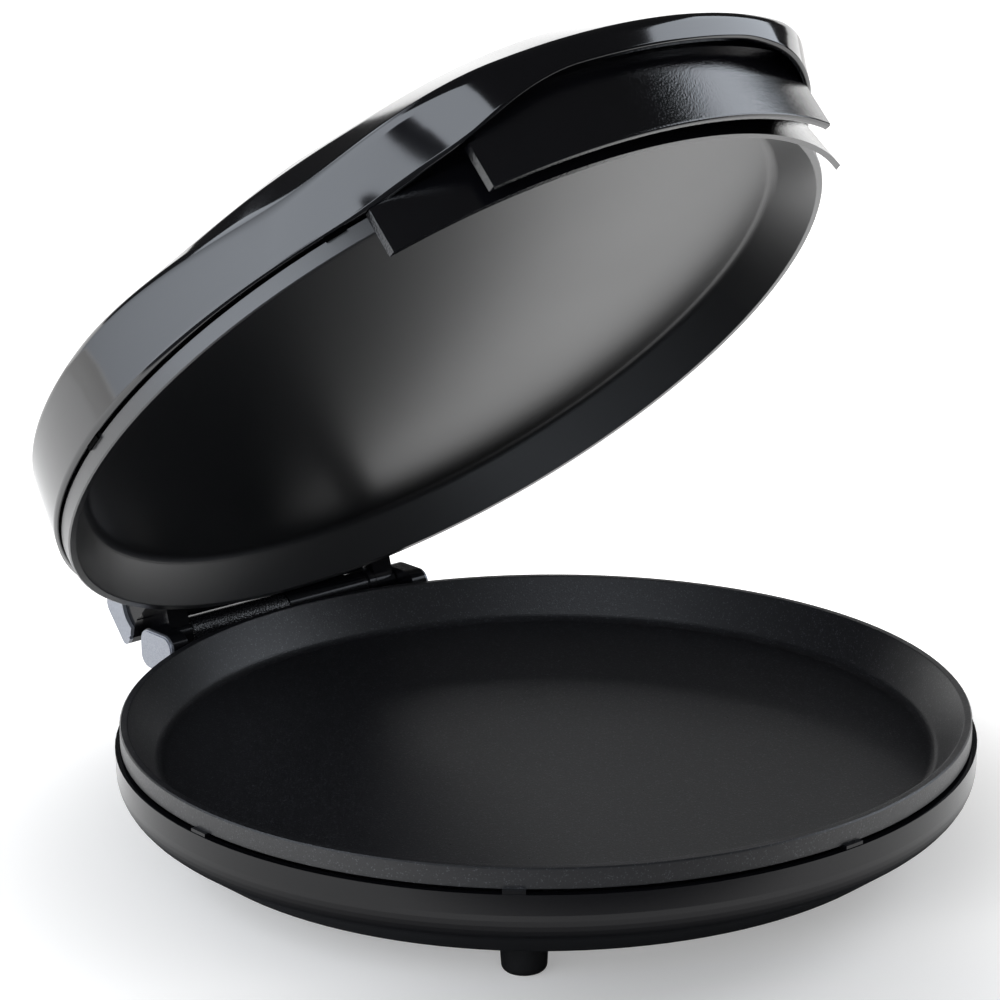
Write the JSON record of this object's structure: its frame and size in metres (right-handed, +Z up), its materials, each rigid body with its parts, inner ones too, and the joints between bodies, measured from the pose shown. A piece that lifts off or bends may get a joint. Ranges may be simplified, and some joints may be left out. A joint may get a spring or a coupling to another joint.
{
  "type": "electric pizza maker",
  "caption": "Round clamshell pizza maker with a deep non-stick pan in the base and another in the hinged lid, which has a hooded grip at the front.",
  "frame": {"origin": "middle of the round base on the table, in the plane of the feet", "axes": "+Z up, -Y towards the grip at the front, +Y towards the hinge, +X to the right seen from the front"},
  "size_m": [0.324, 0.3554, 0.3216],
  "materials": {
    "gloss_black": "polished black moulding",
    "satin_black": "satin black moulding",
    "nonstick_lower": "dark non-stick coating with a fine sparkle",
    "nonstick_upper": "dark satin non-stick coating",
    "silver_trim": "silver lacquered plastic",
    "rubber_foot": "black rubber",
    "steel": "zinc plated steel",
    "element_steel": "heat tinted steel tube",
    "sheet": "bright sheet",
    "cover_sheet": "black painted steel sheet",
    "ceramic": "unglazed ceramic",
    "lens_red": "red lamp lens",
    "lens_green": "green lamp lens"
  },
  "bodies": {
    "base": {"base_housing": "satin_black", "bottom_cover": "cover_sheet", "foot_front_left": "rubber_foot", "foot_front_right": "rubber_foot", "foot_rear_left": "rubber_foot", "foot_rear_right": "rubber_foot", "lower_baking_plate": "nonstick_lower", "lower_heating_element": "element_steel", "lower_element_clips": "steel", "lower_reflector": "sheet", "lower_plate_screws": "steel", "bottom_cover_screws": "steel", "thermostat": "ceramic", "thermal_fuse": "ceramic", "terminal_block": "ceramic", "cord_gland": "satin_black", "hinge_pin_left": "steel", "hinge_pin_right": "steel", "base_hinge_cap_left": "silver_trim", "base_hinge_cap_right": "silver_trim", "wire_guard_base": "satin_black"},
    "lid": {"lid_cover": "gloss_black", "grip_lip": "gloss_black", "finger_guard": "gloss_black", "upper_baking_plate": "nonstick_upper", "upper_heating_element": "element_steel", "upper_element_clips": "steel", "upper_reflector": "sheet", "lid_frame": "sheet", "upper_plate_screws": "steel", "lid_bracket_left": "gloss_black", "lid_bracket_right": "gloss_black", "bracket_screws": "steel", "lid_hinge_cap_left": "silver_trim", "lid_hinge_cap_right": "silver_trim", "wire_guard_lid": "satin_black", "power_lamp_lens": "lens_red", "ready_lamp_lens": "lens_green", "lamp_holder": "ceramic"}
  },
  "joints": [
    {"name": "lid_hinge", "type": "hinge", "parent": "base", "child": "lid", "pos_m": [0, 0.1665, 0.0524], "axis": [-1, 0, 0], "range_deg": [-44.9, 50.1]}
  ]
}
